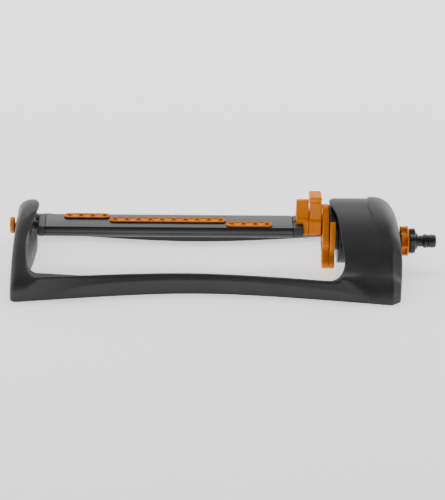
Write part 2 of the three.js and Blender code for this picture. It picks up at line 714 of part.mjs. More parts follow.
part('valve_block', cut(
  join(
    saddle(CAP.right + GAP, BLOCK.right),
    alongX(blockOutline, BLOCK.left, BLOCK.right),
    box(BLOCK.left, BLOCK.right, -BLOCK.half - 2, BLOCK.half + 2, blockFoot, blockFoot + BLOCK.lip),
  ),
  journalRoom(CAP.right - PAST, BLOCK.right + PAST),
), 'orange');

part('width_knob', cut(
  join(
    saddle(KNOB.left, KNOB.right),
    alongX(roundedRectangle(-KNOB.half, KNOB.half, TUBE_Z + 8, KNOB.top, 5), KNOB.left, KNOB.right, 5),
  ),
  journalRoom(KNOB.left - PAST, KNOB.right + PAST),
), 'orange');

// ---------------------------------------------------------------- range levers

// A lever in (Y, Z) about the swing axis that hangs down and forward by the tilt.
function leverPlate({ left, right }) {
  const down = polygon([[-LEVER.arm / 2, 0], [-LEVER.tip, -LEVER.reach + LEVER.tip],
    [LEVER.tip, -LEVER.reach + LEVER.tip], [LEVER.arm / 2, 0]]);
  return join(
    alongX(down, left, right),
    bar(left, right, LEVER.tip, 0, -LEVER.reach + LEVER.tip, 20),
  );
}

const hung = (body) => body.rotate([LEVER.tilt, 0, 0]).translate([0, 0, TUBE_Z]);
const leverRing = ({ left, right, ring: radius }) => bar(left, right, radius, 0, 0, 36);
const leverRoom = (radius) => bar(110, 140, radius + RUN, 0, 0, 32);

part('front_range_lever', hung(cut(
  join(leverRing(FRONT_LEVER), leverPlate(FRONT_LEVER)),
  leverRoom(CASE.neckOuter),
)), 'orange');

part('rear_range_lever', hung(cut(
  join(leverRing(REAR_LEVER), leverPlate(REAR_LEVER)),
  leverRoom(CASE.hub),
  box(110, 140, -40, 40, 3, 40),
)), 'orange');

// ---------------------------------------------------------------- hose inlet

const valve = { left: 214, right: 216.6, key: 1.3 };
const quarter = Math.PI / 2;

// A slot round a quarter of the pipe for the key of the flow valve.
function keySlot() {
  const half = quarter / 2 + 0.25;
  const reach = PIPE.outer + 3;
  const angles = Array.from({ length: 9 }, (_, i) => quarter - half + (i / 8) * 2 * half);
  const rim = angles.map((a) => [reach * Math.cos(a), reach * Math.sin(a)]);
  return alongX(polygon([[0, 0], ...rim]), valve.left - 0.5, valve.right + 0.5).translate([0, 0, INLET_Z]);
}

part('inlet_pipe', cut(
  pipe(PIPE.left, PIPE.right, PIPE.outer, PIPE.inner, 0, INLET_Z, 24),
  keySlot(),
), 'black');

function flowCollar() {
  const { left, right, radius, notch, notches } = COLLAR;
  const pockets = [];
  for (let i = 0; i < notches; i += 1) {
    const angle = ((i + 0.5) / notches) * 2 * Math.PI;
    pockets.push(bar(left - PAST, right - 2.5, notch, (radius + 1.5) * Math.cos(angle),
      INLET_Z + (radius + 1.5) * Math.sin(angle), 10));
  }
  return cut(
    bar(left, right, radius, 0, INLET_Z, 32),
    bar(left - PAST, right + PAST, PIPE.outer + RUN, 0, INLET_Z, 24),
    ...pockets,
    post(INLET_Z, INLET_Z + 15.5, valve.key + GAP, (valve.left + valve.right) / 2, 0, 10),
  );
}

part('flow_collar', flowCollar(), 'orange');

// Throttle disc inside the pipe, with the key that the collar turns it by.
function flowValve() {
  const disc = cut(
    bar(valve.left, valve.right, PIPE.inner - RUN, 0, INLET_Z, 24),
    box(210, 220, -2, 2, INLET_Z - 5, INLET_Z + 3),
  );
  return join(disc, post(INLET_Z + 4, INLET_Z + 15, valve.key, (valve.left + valve.right) / 2, 0, 10));
}

part('flow_valve', flowValve(), 'gear');

const { flange, neck, ridge, nose, bore, right: tip } = NIPPLE;
part('inlet_nipple', turned([
  [217.4, bore], [217.4, PIPE.inner - GAP], [PIPE.right + GAP, PIPE.inner - GAP], [PIPE.right + GAP, flange],
  [230, flange], [230, 10.5], [232, 8.4], [235, neck], [240, neck], [241, ridge], [244, ridge],
  [244.6, neck], [247.4, neck], [248, nose], [254, nose], [tip, nose - 1.2], [tip, bore], [217.4, bore],
], 0, INLET_Z, 20), 'black');
part('nipple_o_ring', ring(246, neck + 0.75, 0.65, 0, INLET_Z), 'rubber');

// Dirt screen: a pierced disc inside the nipple, held in front of the throttle.
function filterScreen() {
  const holes = [];
  for (let i = 0; i < 6; i += 1) {
    const angle = (i / 6) * 2 * Math.PI;
    holes.push(bar(226, 232, 0.7, 2.6 * Math.cos(angle), INLET_Z + 2.6 * Math.sin(angle), 6));
  }
  return cut(bar(228, 229.2, bore - GAP, 0, INLET_Z, 16), bar(226, 232, 0.7, 0, INLET_Z, 6), ...holes);
}

part('filter_screen', filterScreen(), 'steel');

export default sprinkler;
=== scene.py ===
"""Looks of an oscillating lawn sprinkler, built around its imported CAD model.

Moulded pieces are distance fields in millimetres, turned into meshes by surface nets.
Turned pieces are lathes and the spray tube is a loft. Every size comes from the frame
or from the named dimensions below.
"""

import json
import math

import bpy
import numpy as np
from mathutils import Matrix, Vector


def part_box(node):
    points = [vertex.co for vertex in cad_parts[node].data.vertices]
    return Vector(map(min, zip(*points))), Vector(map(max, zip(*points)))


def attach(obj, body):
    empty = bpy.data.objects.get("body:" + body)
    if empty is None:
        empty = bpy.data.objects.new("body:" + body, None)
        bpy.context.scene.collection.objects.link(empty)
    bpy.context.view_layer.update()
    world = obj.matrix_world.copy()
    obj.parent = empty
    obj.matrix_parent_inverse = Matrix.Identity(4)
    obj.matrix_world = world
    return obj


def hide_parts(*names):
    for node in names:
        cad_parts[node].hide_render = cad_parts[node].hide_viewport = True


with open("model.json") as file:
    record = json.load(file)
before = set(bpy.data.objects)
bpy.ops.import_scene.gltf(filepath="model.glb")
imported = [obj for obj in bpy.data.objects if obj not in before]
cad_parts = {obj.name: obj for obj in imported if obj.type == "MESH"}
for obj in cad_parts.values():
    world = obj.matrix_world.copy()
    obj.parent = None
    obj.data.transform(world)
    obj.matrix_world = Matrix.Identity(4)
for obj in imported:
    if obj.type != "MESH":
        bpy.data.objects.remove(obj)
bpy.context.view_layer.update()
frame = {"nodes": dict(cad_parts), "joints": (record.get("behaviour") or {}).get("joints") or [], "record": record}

MM = 0.001


def node_box(node):
    """Lowest and highest corner of a CAD node, in millimetres."""
    low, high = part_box(node)
    return [c / MM for c in low], [c / MM for c in high]


JOINT_PLACE = {joint["name"]: [c / MM for c in joint["pos_m"]] for joint in frame["joints"]}
TUBE_Z = JOINT_PLACE["tube_swing"][2]
INLET_Z = JOINT_PLACE["flow_turn"][2]


# ---------------------------------------------------------------- camera, floor and light

VIEW_ELEVATION = math.radians(25.0)
VIEW_YAW = math.radians(-1.7)
VIEW_ROLL = math.radians(1.1)
VIEW_DISTANCE = 2.5
VIEW_TARGET = Vector((-0.0012, 0.0, 0.0223))
PIXELS_PER_METRE = 830.0
PICTURE_HEIGHT = 500.0
SENSOR = 36.0
FLOOR_GLOW = 0.9
FLOOR_REACH = 6.0


def add_camera():
    data = bpy.data.cameras.new("camera")
    camera = bpy.data.objects.new("camera", data)
    bpy.context.scene.collection.objects.link(camera)
    back = Vector((
        math.sin(VIEW_YAW) * math.cos(VIEW_ELEVATION),
        -math.cos(VIEW_YAW) * math.cos(VIEW_ELEVATION),
        math.sin(VIEW_ELEVATION),
    ))
    level_right = Vector((0, 0, 1)).cross(back).normalized()
    level_up = back.cross(level_right)
    right = level_right * math.cos(VIEW_ROLL) + level_up * math.sin(VIEW_ROLL)
    up = level_up * math.cos(VIEW_ROLL) - level_right * math.sin(VIEW_ROLL)
    turn = Matrix((right, up, back)).transposed()
    camera.matrix_world = Matrix.Translation(VIEW_TARGET + back * VIEW_DISTANCE) @ turn.to_4x4()
    data.sensor_fit = "AUTO"
    data.sensor_width = SENSOR
    data.lens = PIXELS_PER_METRE * VIEW_DISTANCE / PICTURE_HEIGHT * SENSOR
    bpy.context.scene.camera = camera


def add_area_light(name, place, aim, size, watts, colour=(1.0, 1.0, 1.0)):
    data = bpy.data.lights.new(name, "AREA")
    data.shape = "RECTANGLE"
    data.size, data.size_y = size
    data.energy = watts
    data.color = colour
    light = bpy.data.objects.new(name, data)
    bpy.context.scene.collection.objects.link(light)
    light.location = place
    light.rotation_euler = (Vector(aim) - Vector(place)).to_track_quat("-Z", "Y").to_euler()


def add_studio():
    """A bright backdrop behind, softboxes above and panels at both sides; the front stays dim."""
    world = bpy.data.worlds.new("studio")
    world.use_nodes = True
    background = world.node_tree.nodes["Background"]
    background.inputs["Color"].default_value = (0.96, 0.97, 1.0, 1.0)
    background.inputs["Strength"].default_value = 0.15
    bpy.context.scene.world = world
    add_area_light("backdrop", (0.0, 1.6, 0.75), (0.0, 0.0, 0.3), (4.8, 1.5), 36)
    add_area_light("overhead", (0.0, 0.75, 1.7), (0.0, 0.0, 0.0), (3.0, 0.8), 26)
    add_area_light("left_panel", (-1.7, 0.1, 0.8), (0.0, 0.0, 0.05), (1.4, 1.2), 9)
    add_area_light("right_panel", (1.5, 1.4, 0.8), (-0.2, 0.0, 0.05), (1.4, 1.2), 9)
    add_area_light("front_top", (0.0, -0.8, 1.75), (0.0, 0.0, 0.05), (3.0, 0.5), 4.5)
    floor_mesh = bpy.data.meshes.new("floor")
    reach = FLOOR_REACH
    corners = [(-reach, -reach, 0), (reach, -reach, 0), (reach, reach, 0), (-reach, reach, 0)]
    floor_mesh.from_pydata(corners, [], [(0, 1, 2, 3)])
    floor = bpy.data.objects.new("floor", floor_mesh)
    bpy.context.scene.collection.objects.link(floor)
    material = bpy.data.materials.new("floor_paper")
    material.use_nodes = True
    shader = material.node_tree.nodes["Principled BSDF"]
    shader.inputs["Base Color"].default_value = (0.93, 0.93, 0.93, 1.0)
    shader.inputs["Roughness"].default_value = 0.9
    shader.inputs["Specular IOR Level"].default_value = 0.1
    shader.inputs["Emission Color"].default_value = (1.0, 1.0, 1.0, 1.0)
    shader.inputs["Emission Strength"].default_value = FLOOR_GLOW
    floor_mesh.materials.append(material)


# ---------------------------------------------------------------- materials

class Recipe:
    """A material's node tree, with short calls for the few nodes that the recipes use."""

    def __init__(self, name):
        self.material = bpy.data.materials.new(name)
        self.material.use_nodes = True
        self.tree = self.material.node_tree
        self.shader = self.tree.nodes["Principled BSDF"]
        self.place = self.tree.nodes.new("ShaderNodeTexCoord").outputs["Object"]

    def link(self, source, target):
        self.tree.links.new(source, target)

    def stretched(self, scale):
        node = self.tree.nodes.new("ShaderNodeMapping")
        node.inputs["Scale"].default_value = scale
        self.link(self.place, node.inputs["Vector"])
        return node.outputs["Vector"]

    def noise(self, size_mm, detail=2.0, roughness=0.5, stretch=(1.0, 1.0, 1.0)):
        node = self.tree.nodes.new("ShaderNodeTexNoise")
        node.inputs["Scale"].default_value = 1.0 / (size_mm * MM)
        node.inputs["Detail"].default_value = detail
        node.inputs["Roughness"].default_value = roughness
        self.link(self.stretched(stretch), node.inputs["Vector"])
        return node.outputs["Fac"]

    def remap(self, value, low, high, new_low, new_high):
        node = self.tree.nodes.new("ShaderNodeMapRange")
        node.inputs["From Min"].default_value = low
        node.inputs["From Max"].default_value = high
        node.inputs["To Min"].default_value = new_low
        node.inputs["To Max"].default_value = new_high
        self.link(value, node.inputs["Value"])
        return node.outputs["Result"]

    def mix(self, factor, first, second):
        node = self.tree.nodes.new("ShaderNodeMix")
        node.data_type = "RGBA"
        self.link(factor, node.inputs["Factor"])
        for socket, colour in ((node.inputs["A"], first), (node.inputs["B"], second)):
            if isinstance(colour, bpy.types.NodeSocket):
                self.link(colour, socket)
            else:
                socket.default_value = (*colour, 1.0)
        return node.outputs["Result"]

    # Pointiness ramp, used both for worn edges and for the painted shade in recesses.
    def wear_and_shade_mask(self, low=0.52, high=0.6):
        node = self.tree.nodes.new("ShaderNodeNewGeometry")
        return self.remap(node.outputs["Pointiness"], low, high, 0.0, 1.0)

    def bump(self, height, strength, distance_mm):
        node = self.tree.nodes.new("ShaderNodeBump")
        node.inputs["Strength"].default_value = strength
        node.inputs["Distance"].default_value = distance_mm * MM
        self.link(height, node.inputs["Height"])
        self.link(node.outputs["Normal"], self.shader.inputs["Normal"])

    def set(self, **values):
        for name, value in values.items():
            self.shader.inputs[name.replace("_", " ")].default_value = value


def moulded_plastic(name, colour, worn, roughness=(0.4, 0.55), grain=0.35, depth=0.05, tint=0.12,
                    recess_shade=0.6, shine=0.5):
    """Fine-grained moulded plastic: soft cloudy tone, grain, painted shade in recesses, paler worn edges."""
    recipe = Recipe(name)
    clouds = recipe.noise(38, detail=3.0)
    shade = tuple(c * (1 - tint) for c in colour)
    light = tuple(min(c * (1 + tint), 1.0) for c in colour)
    base = recipe.mix(recipe.remap(clouds, 0.35, 0.65, 0.0, 1.0), shade, light)
    # Painted shade: where pointiness is low, in hollows, creases and nozzle wells, the colour is darkened by the
    # recess factor.
    base = recipe.mix(recipe.wear_and_shade_mask(0.38, 0.47), tuple(c * recess_shade for c in colour), base)
    scuffs = recipe.noise(2.2, detail=6.0, roughness=0.7)
    edge = recipe.wear_and_shade_mask()
    worn_part = recipe.remap(scuffs, 0.45, 0.6, 0.0, 1.0)
    multiply = recipe.tree.nodes.new("ShaderNodeMath")
    multiply.operation = "MULTIPLY"
    recipe.link(edge, multiply.inputs[0])
    recipe.link(worn_part, multiply.inputs[1])
    recipe.link(recipe.mix(multiply.outputs[0], base, worn), recipe.shader.inputs["Base Color"])
    recipe.link(recipe.remap(scuffs, 0.3, 0.7, *roughness), recipe.shader.inputs["Roughness"])
    recipe.bump(recipe.noise(grain, detail=2.0), 0.35, depth)
    recipe.set(IOR=1.49, Specular_IOR_Level=shine)
    return recipe.material


def anodised_metal(name, colour, pale):
    """Satin anodised extrusion with faint drawing lines along X."""
    recipe = Recipe(name)
    lines = recipe.noise(1.2, detail=4.0, stretch=(0.02, 1.0, 1.0))
    clouds = recipe.noise(30, detail=2.0, stretch=(0.2, 1.0, 1.0))
    base = recipe.mix(recipe.remap(clouds, 0.3, 0.7, 0.0, 1.0), colour, pale)
    recipe.link(base, recipe.shader.inputs["Base Color"])
    recipe.link(recipe.remap(lines, 0.3, 0.7, 0.25, 0.36), recipe.shader.inputs["Roughness"])
    recipe.bump(lines, 0.12, 0.03)
    recipe.set(Metallic=0.85)
    return recipe.material


def turned_metal(name, colour):
    recipe = Recipe(name)
    lines = recipe.noise(0.5, detail=3.0, stretch=(6.0, 1.0, 1.0))
    recipe.link(recipe.remap(lines, 0.3, 0.7, 0.22, 0.38), recipe.shader.inputs["Roughness"])
    stain = recipe.mix(recipe.noise(6, detail=3.0), colour, tuple(c * 0.8 for c in colour))
    recipe.link(stain, recipe.shader.inputs["Base Color"])
    recipe.bump(lines, 0.1, 0.02)
    recipe.set(Metallic=1.0)
    return recipe.material


MATERIALS = {
    "frame_plastic": moulded_plastic("frame_plastic", (0.0225, 0.0218, 0.0236), (0.065, 0.064, 0.067),
                                     roughness=(0.38, 0.5), grain=0.45, depth=0.05),
    "black_plastic": moulded_plastic("black_plastic", (0.008, 0.008, 0.008), (0.03, 0.03, 0.03),
                                     roughness=(0.3, 0.45)),
    "gear_plastic": moulded_plastic("gear_plastic", (0.66, 0.63, 0.54), (0.75, 0.72, 0.64), tint=0.05),
    "cap_plastic": moulded_plastic("cap_plastic", (0.045, 0.044, 0.045), (0.1, 0.1, 0.1)),
    "orange_plastic": moulded_plastic("orange_plastic", (0.92, 0.26, 0.0), (0.95, 0.42, 0.05),
                                      roughness=(0.34, 0.48), tint=0.06, grain=0.6, depth=0.03, shine=0.2),
    # soft_orange has a strong painted shade in its hollows, which darkens the strips' nozzle wells.
    "soft_orange": moulded_plastic("soft_orange", (0.88, 0.25, 0.008), (0.95, 0.46, 0.12),
                                   roughness=(0.5, 0.65), tint=0.06, recess_shade=0.4, shine=0.2),
    "nozzle_orange": moulded_plastic("nozzle_orange", (0.5, 0.09, 0.0), (0.7, 0.2, 0.02),
                                     roughness=(0.5, 0.65), tint=0.06, shine=0.15),
    "seal_rubber": moulded_plastic("seal_rubber", (0.01, 0.01, 0.01), (0.03, 0.03, 0.03),
                                   roughness=(0.5, 0.7)),
    "tube_metal": anodised_metal("tube_metal", (0.063, 0.061, 0.062), (0.08, 0.078, 0.079)),
    "steel": turned_metal("steel", (0.56, 0.57, 0.58)),
}

SLOT_OF = {sub["node"]: sub["material_slot"] for sub in frame["record"]["subparts"]}


def dress_cad_nodes():
    for node, obj in frame["nodes"].items():
        obj.data.materials.clear()
        obj.data.materials.append(MATERIALS[SLOT_OF[node]])


# ---------------------------------------------------------------- distance fields

def smooth_max(a, b, k):
    """The larger of two fields, with their meeting edge rounded over about k."""
    overlap = np.maximum(k - np.abs(a - b), 0.0) / k
    return np.maximum(a, b) + overlap * overlap * k * 0.25


def smooth_min(a, b, k):
    return -smooth_max(-a, -b, k)


def carve(body, cutter, k):
    return smooth_max(body, -cutter, k)


def between(value, low, high):
    return np.maximum(low - value, value - high)


def ease(value, start, end):
    t = np.clip((value - start) / (end - start), 0.0, 1.0)
    return t * t * (3 - 2 * t)


def rounded_box(x, y, z, low, high, radius):
    middle = [(a + b) / 2 for a, b in zip(low, high)]
    half = [(b - a) / 2 - radius for a, b in zip(low, high)]
    q = [np.abs(v - m) - h for v, m, h in zip((x, y, z), middle, half)]
    outside = np.sqrt(sum(np.maximum(c, 0.0) ** 2 for c in q))
    inside = np.minimum(np.maximum(np.maximum(q[0], q[1]), q[2]), 0.0)
    return outside + inside - radius


def disc(x, y, z, x0, x1, centre, radius, edge=0.0):
    """A round plate or bar about a line along X, with its rims rounded by edge."""
    radial = np.hypot(y - centre[0], z - centre[1]) - radius + edge
    along = between(x, x0 + edge, x1 - edge)
    outside = np.hypot(np.maximum(radial, 0.0), np.maximum(along, 0.0))
    return outside + np.minimum(np.maximum(radial, along), 0.0) - edge


def spline(points, steps=12):
    """A smooth function through [at, value] points, given in rising order."""
    p = np.array(points, float)
    p = np.vstack([2 * p[0] - p[1], p, 2 * p[-1] - p[-2]])
    samples = []
    for a, b, c, d in zip(p[:-3], p[1:-2], p[2:-1], p[3:]):
        for t in np.linspace(0, 1, steps, endpoint=False):
            samples.append(0.5 * (2 * b + (c - a) * t + (2 * a - 5 * b + 4 * c - d) * t**2
                                  + (3 * b - a - 3 * c + d) * t**3))
    samples.append(p[-2])
    samples = np.array(samples)
    return lambda at: np.interp(at, samples[:, 0], samples[:, 1])


def slope_scale(function, at):
    """Turns a difference from a curve's value into a distance from the curve."""
    rise = function(at + 0.5) - function(at - 0.5)
    return 1.0 / np.sqrt(1.0 + rise * rise)


# ---------------------------------------------------------------- meshes from fields

def crossing_cells(value, axis):
    """Grid edges along one axis that cross the surface: their points, cells and facing."""
    low = [slice(None)] * 3
    high = [slice(None)] * 3
    low[axis], high[axis] = slice(0, -1), slice(1, None)
    a, b = value[tuple(low)], value[tuple(high)]
    index = np.argwhere((a < 0) != (b < 0))
    u, w = (axis + 1) % 3, (axis + 2) % 3
    inner = (index[:, u] > 0) & (index[:, w] > 0)
    inner &= (index[:, u] < value.shape[u] - 1) & (index[:, w] < value.shape[w] - 1)
    index = index[inner]
    va, vb = a[tuple(index.T)], b[tuple(index.T)]
    point = index.astype(float)
    point[:, axis] += va / (va - vb)
    shape = tuple(n - 1 for n in value.shape)
    cells = []
    for du, dw in ((0, 0), (1, 0), (1, 1), (0, 1)):
        cell = index.copy()
        cell[:, u] -= du
        cell[:, w] -= dw
        cells.append(np.ravel_multi_index(tuple(cell.T), shape))
    quads = np.stack(cells, axis=1)
    quads[va >= 0] = quads[va >= 0][:, ::-1]
    return point, np.stack(cells, axis=1), quads


def settle(points, field, step):
    """Moves points onto the surface along the field's slope."""
    reach = 0.04
    for _ in range(3):
        value = field(*points.T)
        slope = np.stack([
            (field(*(points + offset).T) - field(*(points - offset).T)) / (2 * reach)
            for offset in np.eye(3) * reach
        ], axis=1)
        size = np.maximum((slope**2).sum(axis=1), 0.05)
        move = -slope * (value / size)[:, None]
        points = points + np.clip(move, -0.4 * step, 0.4 * step)
    return points


def surface(field, low, high, step):
    """Vertices and quads of a field's zero surface, by surface nets."""
    axes = [np.arange(a - 1.5 * step, b + 2.5 * step, step) for a, b in zip(low, high)]
    value = field(*np.meshgrid(*axes, indexing="ij", sparse=True))
    cell_count = int(np.prod([n - 1 for n in value.shape]))
    total = np.zeros((cell_count, 3))
    count = np.zeros(cell_count)
    quads = []
    for axis in range(3):
        point, cells, quad = crossing_cells(value, axis)
        for column in cells.T:
            count += np.bincount(column, minlength=cell_count)
            for k in range(3):
                total[:, k] += np.bincount(column, weights=point[:, k], minlength=cell_count)
        quads.append(quad)
    quads = np.concatenate(quads)
    used, faces = np.unique(quads, return_inverse=True)
    origin = np.array([a[0] for a in axes])
    points = total[used] / count[used][:, None] * step + origin
    return settle(points, field, step), faces.reshape(quads.shape)


def add_mesh(name, points_mm, faces, slot, smooth=True):
    mesh = bpy.data.meshes.new(name)
    mesh.from_pydata((np.asarray(points_mm) * MM).tolist(), [], np.asarray(faces).tolist())
    mesh.validate()
    mesh.update()
    mesh.polygons.foreach_set("use_smooth", [smooth] * len(mesh.polygons))
    mesh.materials.append(MATERIALS[slot])
    obj = bpy.data.objects.new(name, mesh)
    bpy.context.scene.collection.objects.link(obj)
    return obj


def place_piece(obj, body, slot, *nodes):
    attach(obj, body)
    if nodes:
        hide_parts(*nodes)


def moulded(name, field, low, high, step, slot, body, *nodes, material=None):
    """A moulded piece: the field's surface as a mesh that rides on its body."""
    points, faces = surface(field, low, high, step)
    obj = add_mesh(name, points, faces, material or slot)
    place_piece(obj, body, slot, *nodes)
    return obj


def turned(name, profile, centre, slot, body, *nodes, sides=64):
    """A piece turned about a line along X, from a closed profile of [x, radius] points."""
    points, faces = [], []
    count = len(profile)
    for i in range(sides):
        angle = 2 * math.pi * i / sides
        for x, radius in profile:
            points.append((x, centre[0] + radius * math.cos(angle), centre[1] + radius * math.sin(angle)))
    for i in range(sides):
        here, there = i * count, ((i + 1) % sides) * count
        for k in range(count):
            m = (k + 1) % count
            faces.append((here + k, here + m, there + m, there + k))
    obj = add_mesh(name, points, faces, slot)
    place_piece(obj, body, slot, *nodes)
    return obj


# ---------------------------------------------------------------- frame and hood

FRAME_LEFT = node_box("base_frame")[0][0]
hood_high = node_box("gear_hood")[1]

WAIST = 75.5
WAIST_X = -33.0
WAIST_SLOPE = 0.185
WAIST_BLEND = 17.5
BEAM_TOP = 25.0
TOP_INSET = 2.2
SIDE_DRAFT = 0.03
BEAM_WALL = 4.2
ARCH_EXTRA_WALL = 5.0
SHELL = 3.0
HOOD_HOLLOW_X = 143.0
ARCH_BOW, ARCH_BOW_AT = 6.2, 75.0
END_BOW, END_BOW_AT = 7.0, 95.0
CORNER_X = 195.6
CORNER_ACROSS, CORNER_OUT = 0.70, 0.714
FOOT_HALF, FOOT_TOP, FOOT_SLOPE = 80.0, 6.0, 0.62
UNDER_ARCH = 22.0
UNDER_ARCH_END = -214.0
RIB_OUT, RIB_IN = 3.0, 11.0
RIB_BOTTOM, RIB_TOP = 10.5, 13.5
RIB_LEFT, RIB_RIGHT = -234.0, 150.0

PIVOT_BOSS_X, PIVOT_BOSS = (-248.0, -228.0), 13.0
PIVOT_PLATE_X, PIVOT_PLATE = (-232.0, -228.2), 22.0
POCKET_X, POCKET, POCKET_FOOT = (-227.8, -200.0), 23.5, 46.0
PIVOT_BORE_X, PIVOT_BORE = (-260.0, -215.0), 5.4
BUSH_SEAT_X, BUSH_SEAT = (-238.3, -215.0), 7.8
INLET_BORE_X, INLET_BORE = (200.0, 220.0), 10.4
COLLAR_SEAT_X, COLLAR_SEAT = (212.0, 220.0), 19.5


def half_width(x):
    run = WAIST_SLOPE * (x - WAIST_X)
    return WAIST + np.hypot(WAIST_BLEND, run) - WAIST_BLEND


beam_crease = spline([[-225, -4], [-213, 0], [-203, 4], [-182, 11.5], [-162, 15.5], [-130, 17.3], [-98, 18],
                      [-19, 18], [37, 17.5], [93, 15], [142, 12], [165, 7], [185, 0], [200, -4]])
beam_top = spline([[-250, 29.5], [-215, 28.8], [-190, 28], [-163, 27], [-105, 25.7], [-30, 24.6], [24, 24.1],
                   [80, 23.8], [117, 23.6], [145, 24.4], [158, 22], [175, 15], [195, 11], [215, 11]])


def outer_side(x, z):
    """Half width of the frame: upright below the crease, then leaning in to the top edge."""
    crease = beam_crease(x)
    lean = np.clip((z - crease) / (BEAM_TOP - crease), 0.0, 1.0)
    return half_width(x) - TOP_INSET * lean - SIDE_DRAFT * np.clip(z, 0.0, BEAM_TOP)


def hill(s, z, outline):
    """Distance above a hill whose height falls with the distance s from the middle plane."""
    return (z - outline(s)) * slope_scale(outline, s)


arch_outline = spline([[-12, 82.6], [0, 85], [12, 82.6], [24, 77], [36, 69], [48, 60.5], [60, 52.5],
                       [72, 43], [82, 33.5], [90, 22], [95.5, 8], [98, -6], [120, -140]])
dome_outline = spline([[-15, 84.6], [0, 86.6], [15, 84.6], [30, 78.4], [45, 69.5], [55, 61], [62.5, 53],
                       [72, 41.5], [80, 32], [88, 24.5], [96, 16], [104, 5], [120, -20]])
arch_left = spline([[-5, -251], [20, -250.8], [52, -248.8], [68, -245.5], [78, -240], [84, -231],
                    [88, -216]])
arch_middle = spline([[-5, -221.5], [22, -223.4], [38, -225.6], [48, -228], [56, -229], [62, -228.5],
                      [68, -226], [74, -222.5], [80, -218.5], [88, -217]])
hood_rim = spline([[-5, 141], [30, 140.8], [41, 140.4], [52.5, 138.6], [62, 136.8], [70, 135.4],
                   [77.4, 133.5], [81.6, 131], [84.8, 126.6], [86.6, 122], [92, 112]])
hood_end = spline([[-5, 213], [28, 212.7], [44, 211.3], [57, 208.8], [68, 205.5], [76, 202], [84, 195],
                   [92, 181]])
hood_crease = spline([[-5, 150], [22, 160], [30, 168], [40, 174], [52, 176.6], [62, 176.4], [72, 175],
                      [80.7, 173], [87, 169], [95, 163]])


def arch_face(x, s, z):
    """The arch's inner face, which falls back to the left towards its feet."""
    return x - (arch_middle(z) - ARCH_BOW * (s / ARCH_BOW_AT) ** 1.6)


def arch_hill(s, z, web):
    """The arch, with an edge over its inner face that is rounder at the crown."""
    return smooth_max(hill(s, z, arch_outline), web, 2.0 + 10.0 * ease(z, 64.0, 78.0))


def hood_dome(x, s, z):
    """The hood without its mouth, raised by a soft step to the right of its crease."""
    step = 0.8 + 1.0 * ease(z, 62.0, 80.0)
    reach = 3.0 + 2.0 * ease(-z, -80.0, -60.0)
    raised = step * ease((x - hood_crease(z)) / reach, 0.0, 1.0) * ease(z, 30.0, 55.0)
    return hill(s, z, dome_outline) - raised


def left_end(x, z):
    return (arch_left(z) - x) * slope_scale(arch_left, z)


def right_end(x, s, z):
    return (x - hood_end(z) + END_BOW * (s / END_BOW_AT) ** 2) * slope_scale(hood_end, z)


def closed_form(x, s, z, arch_part, hood_part):
    """The two parts of the frame, closed by its sides, its ends and the hood's corner facets."""
    edge = 3.0 + 15.0 * ease(-x, 214.0, 236.0) + 11.0 * ease(x, 138.0, 168.0)
    form = smooth_max(s - outer_side(x, z), np.where(x < 0, arch_part, hood_part), edge)
    corner = CORNER_ACROSS * (x - CORNER_X) + CORNER_OUT * form
    form = smooth_max(form, left_end(x, z), 10.0)
    form = smooth_max(form, right_end(x, s, z), 4.0 + 6.0 * ease(z, 20.0, 50.0))
    return smooth_max(form, corner, 1.6 + 10.0 * ease(z, 45.0, 70.0))


def hollow_shell(x, s, z):
    """The frame's outside with its inside taken out, open below and at the hood's mouth."""
    web = arch_face(x, s, z)
    slab = z - beam_top(x)
    dome = hood_dome(x, s, z)
    rim = (hood_rim(z) - x) * slope_scale(hood_rim, z)
    flare = 20.0 + 16.0 * ease(x, 165.0, 195.0)
    arch_part = smooth_min(slab, arch_hill(s, z, web), 14.0)
    outer = closed_form(x, s, z, arch_part, smooth_min(slab, smooth_max(dome, rim, 1.6), flare))
    without_mouth = closed_form(x, s, z, arch_part, smooth_min(slab, dome, flare))

    wall = BEAM_WALL + ARCH_EXTRA_WALL * ease(-x, 205.0, 226.0)
    hollow = np.maximum(s - outer_side(x, z) + wall, np.minimum(dome, slab) + SHELL)
    hollow = np.maximum(hollow, -web)
    hollow = np.maximum(hollow, np.where(x > HOOD_HOLLOW_X, without_mouth + SHELL, -SHELL))
    body = carve(outer, hollow, 2.0)
    return carve(body, np.maximum(outer, web) + SHELL, 1.5)


def with_pivot(body, x, y, z):
    """Adds the pivot's boss and plate in the arch, and cuts the cap's pocket and the bores."""
    axis = (0, TUBE_Z)
    boss = np.minimum(disc(x, y, z, *PIVOT_BOSS_X, axis, PIVOT_BOSS),
                      disc(x, y, z, *PIVOT_PLATE_X, axis, PIVOT_PLATE))
    body = smooth_min(body, np.maximum(boss, left_end(x, z) + 1.0), 2.0)
    pocket = np.maximum(disc(x, y, z, *POCKET_X, axis, POCKET), POCKET_FOOT - z)
    body = carve(body, pocket, 1.0)
    body = carve(body, disc(x, y, z, *PIVOT_BORE_X, axis, PIVOT_BORE), 0.6)
    return carve(body, disc(x, y, z, *BUSH_SEAT_X, axis, BUSH_SEAT), 0.6)


def arch_opening(x, s, z):
    """The low opening under the arch, between its two feet."""
    under = np.maximum(s - FOOT_HALF + FOOT_SLOPE * np.maximum(z - FOOT_TOP, 0.0), z - UNDER_ARCH)
    return np.maximum(under, x - UNDER_ARCH_END)


def beam_rib(x, s, z):
    """The ledge along the inside of each beam."""
    side = outer_side(x, z)
    rib = np.maximum(between(s, side - RIB_IN, side - RIB_OUT), between(z, RIB_BOTTOM, RIB_TOP))
    return np.maximum(rib, between(x, RIB_LEFT, RIB_RIGHT))


